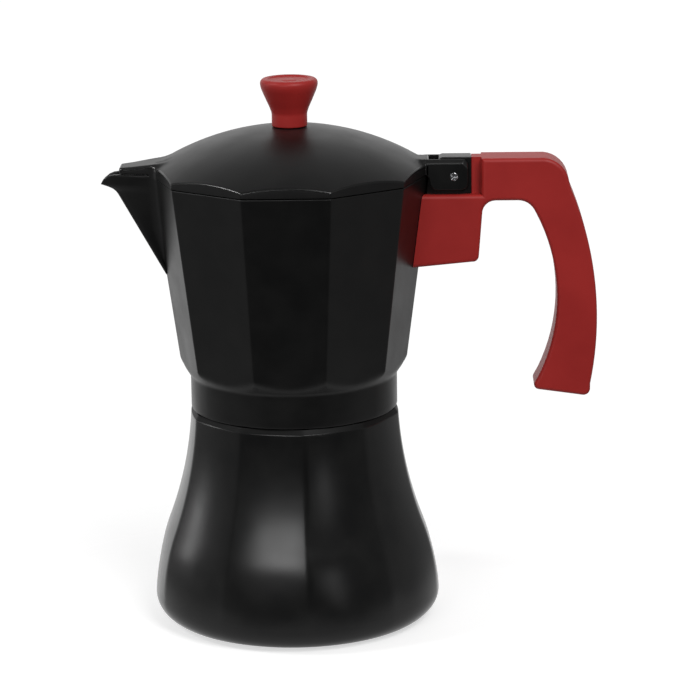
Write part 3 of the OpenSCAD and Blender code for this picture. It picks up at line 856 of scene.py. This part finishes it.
def boiler():
    """Out from the underside, up the bell and the neck, and down the inside.

    The wall is drawn without the hole for the valve, which the boss and the valve hide.
    """
    count = 400
    angles = [2 * math.pi * i / count for i in range(count)]
    share = [panel(a) for a in angles]
    rings = []

    def add(radius, z, panels=None):
        depth = fade(z) if panels is None else panels
        rings.append([(radius * (1 + (s - 1) * depth) * math.cos(a),
                       radius * (1 + (s - 1) * depth) * math.sin(a), z) for a, s in zip(angles, share)])

    for r in (12, 24, 36, POCKET_R):
        add(r, POCKET_H, 0)
    add(POCKET_R, 0.25, 0)
    add(POCKET_R + 0.25, 0.0, 0)
    add(BASE_R - 0.2, 0.0, 0)
    add(BASE_R, 0.12, 0)
    step = bell(LEDGE_Z)
    for t in (0.3, 0.6, 0.9):
        add(BASE_R + (step - 0.75 - BASE_R) * t, 0.12 + (LEDGE_Z - 0.3) * t)
    for r, z in ((-0.72, -0.12), (-0.62, 0.0), (-0.3, 0.02), (-0.06, 0.08), (0.06, 0.2)):
        add(step + r, LEDGE_Z + z)
    for i in range(1, 15):
        t = math.pi / 2 * i / 14
        z = LEDGE_Z + 0.3 + (FOOT_H - LEDGE_Z - 0.3) * (1 - math.cos(t))
        add(bell(z), z)
    top = SEAM_Z - SHOULDER_H
    for i in range(1, 61):
        z = FOOT_H + (top - 0.35 - FOOT_H) * i / 60
        add(bell(z), z)
    edge, rim = bell(top), bell(top) - SHOULDER_IN
    add(edge - 0.005, top - 0.12)
    add(edge - 0.03, top)
    add(edge - 0.08, top + 0.1)
    add(edge - 0.14, top + 0.25)
    band_start = len(rings) - 1
    for t in (0.3, 0.5, 0.7, 0.85):
        add(edge - SHOULDER_IN * t, top + (SEAM_Z - top) * t)
    add(rim, SEAM_Z - 0.1)
    add(rim - 0.04, SEAM_Z - 0.03)
    add(rim - 0.12, SEAM_Z, 0.95)
    band_end = len(rings)
    add(37.2, SEAM_Z, 0.3)
    add(NECK_R + 0.5, SEAM_Z, 0)
    add(NECK_R, SEAM_Z + 0.4, 0)
    steps = 40
    for i in range(1, steps + 1):
        z = SEAM_Z + 0.4 + (NECK_TOP - 0.6 - SEAM_Z - 0.4) * i / steps
        rings.append(thread_ring(angles, NECK_R, RIDGE_H, z, 84.3, 92.6))
    add(NECK_R - 0.5, NECK_TOP, 0)
    add(NECK_BORE_R + 0.5, NECK_TOP, 0)
    add(NECK_BORE_R, NECK_TOP - 0.5, 0)
    add(NECK_BORE_R, SEAM_Z - 3.5, 0)
    add(33.6, SEAM_Z - 6.0, 0)
    for i in range(0, 14):
        z = 74 - (74 - 12) * i / 13
        add(bell(z) * (1 - PANEL_DIP) - BOILER_WALL, z, 0)
    foot = bell(9) * (1 - PANEL_DIP) - BOILER_WALL
    for a in range(0, 91, 18):
        t = math.radians(a)
        add(foot - 4.5 + 4.5 * math.cos(t), 9 - 4.5 * math.sin(t), 0)
    for r in (34, 20, 8):
        add(r, BOILER_FLOOR, 0)
    points = [p for ring in rings for p in ring]
    points += [(0, 0, POCKET_H), (0, 0, BOILER_FLOOR)]
    faces = ring_faces(len(rings), count, True, True)
    obj = piece("boiler_shell", points, faces, "base", BOILER_BLACK, ["boiler"], 30)
    second_finish(obj, SHOULDER_BLACK, band_start * count, band_end * count)


boiler()

valve_low, valve_high = box_mm("valve_body")
VALVE_Z = (valve_low[2] + valve_high[2]) / 2
VALVE_SEAT_Y = box_mm("valve_washer")[0][1]
BOSS_R, VALVE_HOLE_R = 9.0, 4.95


def valve_boss():
    face = VALVE_SEAT_Y
    profile = [(VALVE_HOLE_R, face - 9), (12.5, face - 6.4), (10.6, face - 4.6), (9.4, face - 2.6),
               (BOSS_R, face - 1.0), (BOSS_R, face - 0.4), (8.6, face), (5.3, face),
               (VALVE_HOLE_R, face - 0.35)]
    points, faces = revolve(profile, 72, "y", (0, 0, VALVE_Z))
    return piece("valve_boss", points, faces, "base", BOILER_BLACK, degrees=35)


valve_boss()


# ---- Knob ----

def knob():
    top, foot, radius, neck = knob_high[2], knob_low[2], knob_high[0], 6.7
    profile = [(2.05, foot), (neck - 0.3, foot), (neck, foot + 0.3), (neck, foot + 5.0), (7.5, top - 10.7),
               (8.5, top - 8.5), (9.5, top - 6.2), (10.45, top - 3.9), (radius, top - 2.4),
               (radius, top - 1.0), (radius - 0.9, top), (radius - 2.9, top), (radius - 3.5, top - 0.55),
               (3.2, top - 0.62), (2.6, top - 0.35), (0, top - 0.3)]
    smooth = rounded(profile, 0.7, 4)
    smooth = [p for p in smooth if p[0] > 1e-4] + [(0, top - 0.3)]
    start = [(0, foot + 0.6), (2.0, foot + 0.6)]
    points, faces = revolve(start + smooth, 128)
    return piece("knob_cone", points, faces, "cover", RED, ["knob"], 35)


knob()


# ---- Pieces whose CAD shape is right, with their edges rounded ----

round_sides(from_cad("handle", "handle_grip", "upper", RED, 0.45, 3), 1.5)
from_cad("handle_screw", "screw_under_block", "upper", STEEL, 0.15, 2)
from_cad("handle_washer", "washer_under_block", "upper", STEEL, 0.12, 2)
from_cad("knob_screw", "screw_under_lid", "cover", STEEL, 0.15, 2)
from_cad("knob_washer", "washer_under_lid", "cover", STEEL, 0.12, 2)
from_cad("column", "rising_column", "upper", ALUMINIUM, 0.3, 3)
from_cad("funnel", "funnel_body", "coffee_funnel", ALUMINIUM, 0.25, 3)
from_cad("funnel_tube", "funnel_stem", "coffee_funnel", ALUMINIUM, 0.2, 2)
from_cad("funnel_filter", "funnel_disc", "coffee_funnel", SHEET, 0.1, 2)
from_cad("gasket", "seal_ring", "seal", SEAL, 0.45, 4)
from_cad("filter_plate", "filter_disc", "plate", SHEET, 0.12, 2)
from_cad("base_disc", "base_plate", "base", BASE_STEEL, 0.12, 2)
from_cad("valve_body", "valve_hexagon", "base", BRASS, 0.25, 3)
from_cad("valve_washer", "valve_ring", "base", COPPER, 0.2, 3)
from_cad("valve_plunger", "valve_stem", "plunger", BRASS, 0.25, 3)
coil = from_cad("valve_spring", "valve_coil", "base", STEEL, 0.02, 1)
from_cad("valve_retainer", "valve_plug", "base", BRASS, 0.12, 2)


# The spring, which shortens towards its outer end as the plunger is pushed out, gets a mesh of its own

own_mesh(coil)


# ---- Floor, light and camera ----

GLOW_SIDE = (-0.12, 1.0, 0.0)
GLOW_STEPS = ((-1.0, 0.02), (-0.75, 0.05), (-0.35, 0.2), (0.25, 0.17), (0.6, 0.32), (0.76, 0.5),
              (0.9, 0.95))
FLOOR_FADE, FLOOR_GLOW, FLOOR_MIRRORED = (0.07, 0.22), 0.6, 0.3
BACKDROP = 1.05
CAMERA_AT, CAMERA_LENS = (0.0463, -1.1991, 0.400), 166.0
CAMERA_HEADING, CAMERA_TILT, CAMERA_ROLL = 1.18, 76.15, -0.77


def floor():
    """Pale round floor that fades out before it meets the white background."""
    mesh = bpy.data.meshes.new("floor")
    size = FLOOR_FADE[1] * 1.05
    count = 64
    rim = [(size * math.cos(2 * math.pi * i / count), size * math.sin(2 * math.pi * i / count), 0)
           for i in range(count)]
    mesh.from_pydata(rim, [], [tuple(range(count))])
    obj = bpy.data.objects.new("floor", mesh)
    bpy.context.scene.collection.objects.link(obj)
    m, nt, s, where = material("pale_floor")
    s.inputs["Base Color"].default_value = (0.8, 0.8, 0.8, 1)
    s.inputs["Roughness"].default_value = 0.9
    s.inputs["Specular IOR Level"].default_value = 0.1
    s.inputs["Emission Color"].default_value = (1, 1, 1, 1)
    s.inputs["Emission Strength"].default_value = FLOOR_GLOW
    length = nt.nodes.new("ShaderNodeVectorMath")
    length.operation = "LENGTH"
    nt.links.new(where, length.inputs[0])
    fade = nt.nodes.new("ShaderNodeMapRange")
    fade.interpolation_type = "SMOOTHSTEP"
    fade.inputs["From Min"].default_value = FLOOR_FADE[0]
    fade.inputs["From Max"].default_value = FLOOR_FADE[1]
    fade.inputs["To Min"].default_value = 1.0
    fade.inputs["To Max"].default_value = 0.0
    nt.links.new(length.outputs["Value"], fade.inputs["Value"])
    rays = nt.nodes.new("ShaderNodeLightPath")
    seen = spread(nt, rays.outputs["Is Camera Ray"], FLOOR_MIRRORED, 1.0, 0.0, 1.0)
    side = nt.nodes.new("ShaderNodeNewGeometry")
    above = spread(nt, side.outputs["Backfacing"], 1.0, 0.0, 0.0, 1.0)
    nt.links.new(product(nt, product(nt, fade.outputs["Result"], seen), above), s.inputs["Alpha"])
    mesh.materials.append(m)


def world():
    """White paper behind and beside the pot, and a darker room in front of it."""
    w = bpy.data.worlds.new("studio")
    bpy.context.scene.world = w
    w.use_nodes = True
    nt = w.node_tree
    nt.nodes.clear()
    out = nt.nodes.new("ShaderNodeOutputWorld")
    seen = nt.nodes.new("ShaderNodeBackground")
    seen.inputs["Strength"].default_value = BACKDROP
    seen.inputs["Color"].default_value = (1, 1, 1, 1)
    lit = nt.nodes.new("ShaderNodeBackground")
    lit.inputs["Color"].default_value = (1, 1, 1, 1)
    way = nt.nodes.new("ShaderNodeTexCoord")
    towards = nt.nodes.new("ShaderNodeVectorMath")
    towards.operation = "DOT_PRODUCT"
    towards.inputs[1].default_value = GLOW_SIDE
    nt.links.new(way.outputs["Generated"], towards.inputs[0])
    share = nt.nodes.new("ShaderNodeMapRange")
    share.inputs["From Min"].default_value = -1.0
    share.inputs["From Max"].default_value = 1.0
    nt.links.new(towards.outputs["Value"], share.inputs["Value"])
    glow = colours(nt, share.outputs["Result"], *[((at + 1) / 2, (v, v, v)) for at, v in GLOW_STEPS])
    nt.links.new(glow, lit.inputs["Strength"])
    rays = nt.nodes.new("ShaderNodeLightPath")
    mix = nt.nodes.new("ShaderNodeMixShader")
    nt.links.new(rays.outputs["Is Camera Ray"], mix.inputs["Fac"])
    nt.links.new(lit.outputs["Background"], mix.inputs[1])
    nt.links.new(seen.outputs["Background"], mix.inputs[2])
    nt.links.new(mix.outputs["Shader"], out.inputs["Surface"])


def lamp(name, at, target, size, power, size_y=None):
    """A soft rectangular light. Places and sizes are in metres and the power in watts."""
    data = bpy.data.lights.new(name, "AREA")
    data.shape = "RECTANGLE"
    data.size = size
    data.size_y = size_y or size
    data.energy = power
    obj = bpy.data.objects.new(name, data)
    bpy.context.scene.collection.objects.link(obj)
    obj.location = at
    obj.rotation_euler = (Vector(target) - Vector(at)).to_track_quat("-Z", "Y").to_euler()
    obj.visible_camera = False


def camera():
    data = bpy.data.cameras.new("camera")
    data.sensor_width = 36
    data.lens = CAMERA_LENS
    data.clip_end = 50
    obj = bpy.data.objects.new("camera", data)
    bpy.context.scene.collection.objects.link(obj)
    heading = Matrix.Rotation(math.radians(CAMERA_HEADING), 4, "Z")
    tilt = Matrix.Rotation(math.radians(CAMERA_TILT), 4, "X")
    roll = Matrix.Rotation(math.radians(CAMERA_ROLL), 4, "Z")
    obj.matrix_world = Matrix.Translation(CAMERA_AT) @ (heading @ tilt @ roll)
    bpy.context.scene.camera = obj


floor()
world()
camera()
lamp("window", (-0.40, -1.22, 0.527), (0, 0, 0.04), 0.52, 2.4, 0.26)
lamp("left", (-1.08, 0.17, 0.30), (0, 0, 0.06), 0.12, 0.8, 0.5)
lamp("edge", (-0.89, -0.24, 0.92), (0, 0, 0.12), 0.2, 2.5)
lamp("strip", (0.85, -1.05, 0.20), (0, 0, 0.04), 0.10, 0.16, 0.25)
lamp("key", (0.55, -0.95, 1.15), (0, 0, 0.1), 0.6, 9)
bpy.context.scene.view_settings.view_transform = "Standard"
bpy.context.scene.view_settings.look = "None"
